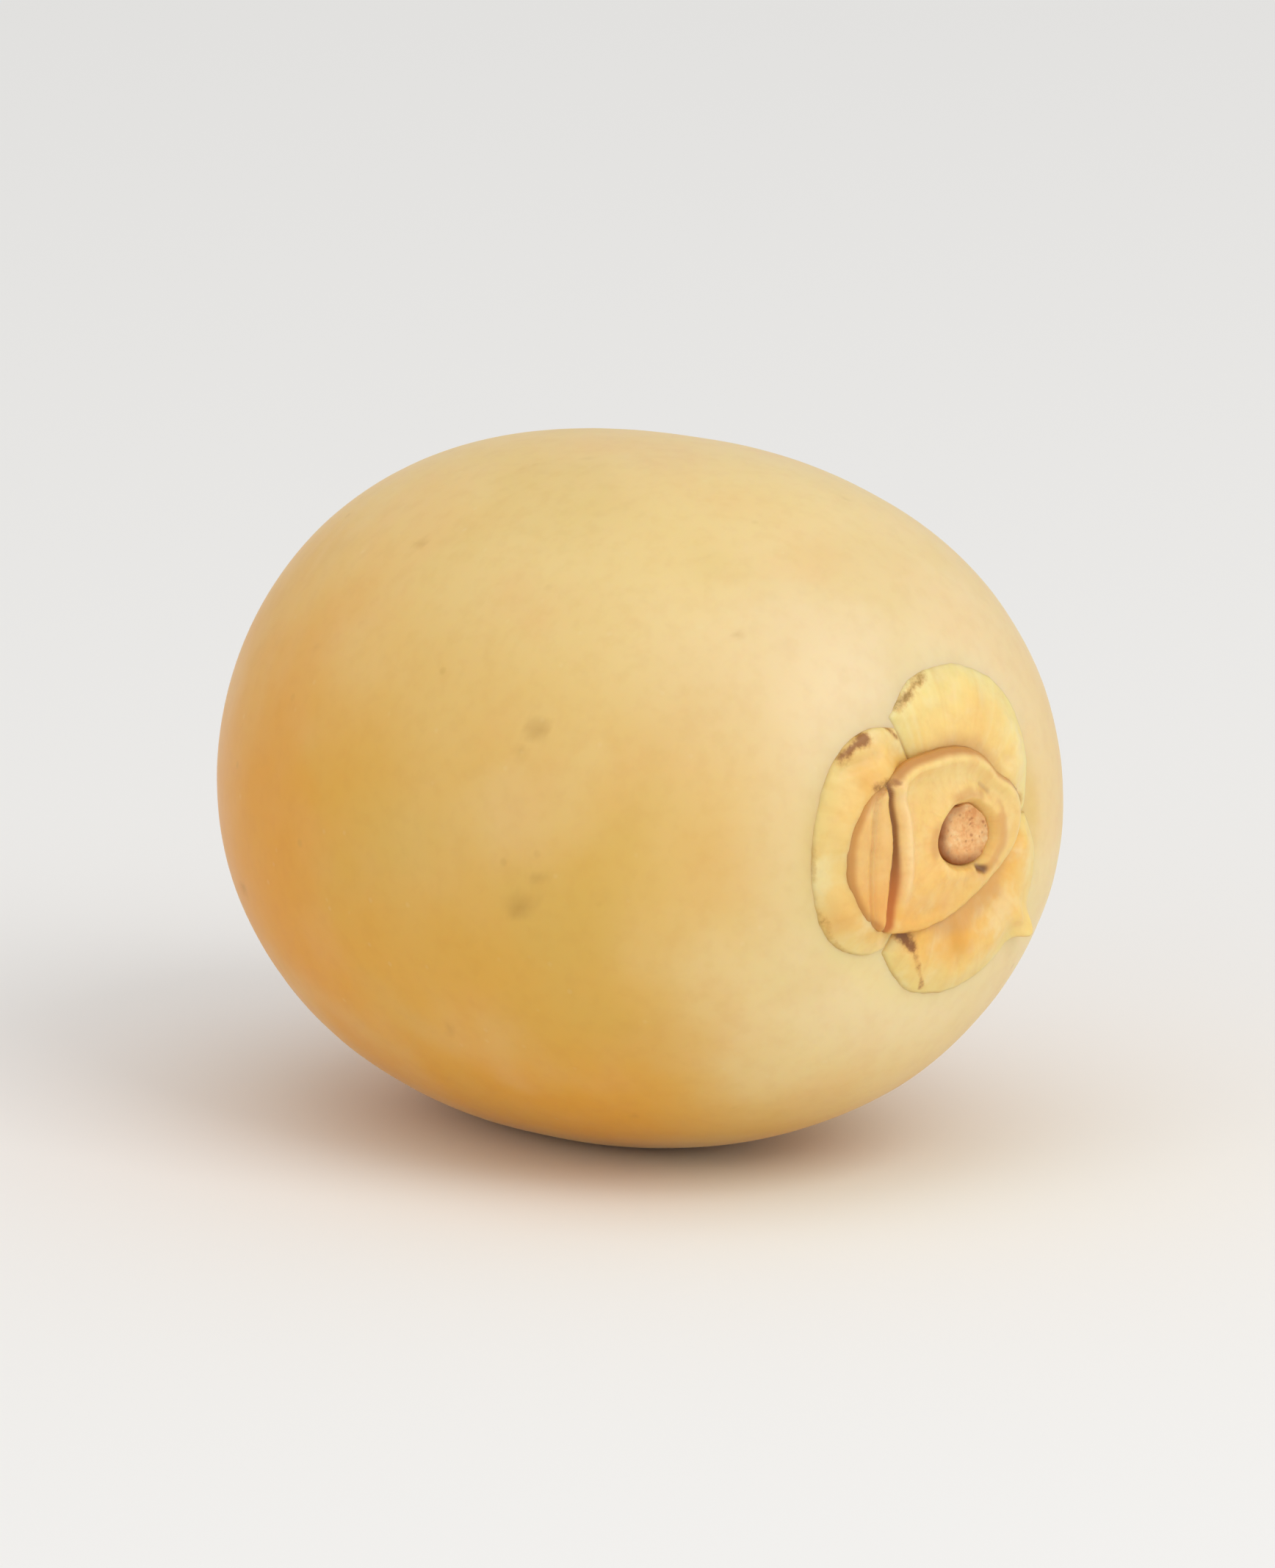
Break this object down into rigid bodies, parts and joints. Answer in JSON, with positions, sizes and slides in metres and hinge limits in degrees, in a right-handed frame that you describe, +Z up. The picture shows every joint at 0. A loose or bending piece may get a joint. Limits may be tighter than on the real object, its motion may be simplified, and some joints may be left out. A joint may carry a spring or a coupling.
{
  "type": "fresh yellow date",
  "caption": "Fresh yellow date with smooth waxy skin, lying on its side, with its calyx cup, petals and broken strand end at one end and a small scar at the other.",
  "frame": {"origin": "middle of the small flat spot the fruit rests on, at the surface it lies on", "axes": "+X along the fruit's length towards the calyx end, level; +Z up; +Y completes a right-handed frame"},
  "size_m": [0.0356, 0.0278, 0.0272],
  "materials": {
    "skin": "smooth waxy fruit skin, satin",
    "calyx": "dry papery, cream to orange",
    "petals": "dry papery, pale with brown edges",
    "strand": "broken fibre, matte"
  },
  "bodies": {
    "root": {"fruit": "skin", "calyx_cup": "calyx", "petal_near": "petals", "petal_upper": "petals", "petal_far": "petals", "strand_stub": "strand"}
  },
  "joints": []
}
